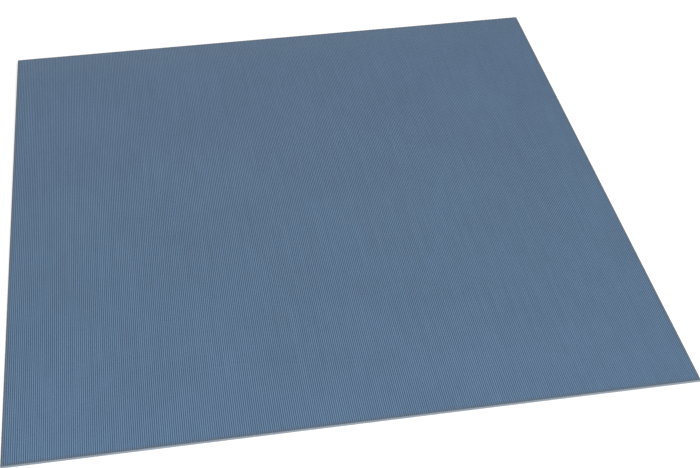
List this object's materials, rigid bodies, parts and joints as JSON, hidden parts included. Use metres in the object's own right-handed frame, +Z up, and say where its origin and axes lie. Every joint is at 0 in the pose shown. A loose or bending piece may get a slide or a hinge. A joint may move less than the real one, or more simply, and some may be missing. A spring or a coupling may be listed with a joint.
{
  "type": "insulating mat",
  "caption": "Square ribbed rubber insulating mat, laid flat for a person to stand on while working on live electrical equipment.",
  "frame": {"origin": "middle of the flat underside, on the floor", "axes": "+Z up, out of the ribbed face; +Y along the ribs, from the front edge to the back edge; +X across the ribs"},
  "size_m": [1, 1, 0.0045],
  "materials": {
    "rubber": "dull blue-grey rubber, finely ribbed on the upper face, paler where it is knife-cut at the edges"
  },
  "bodies": {
    "root": {"insulating_mat": "rubber"}
  },
  "joints": []
}
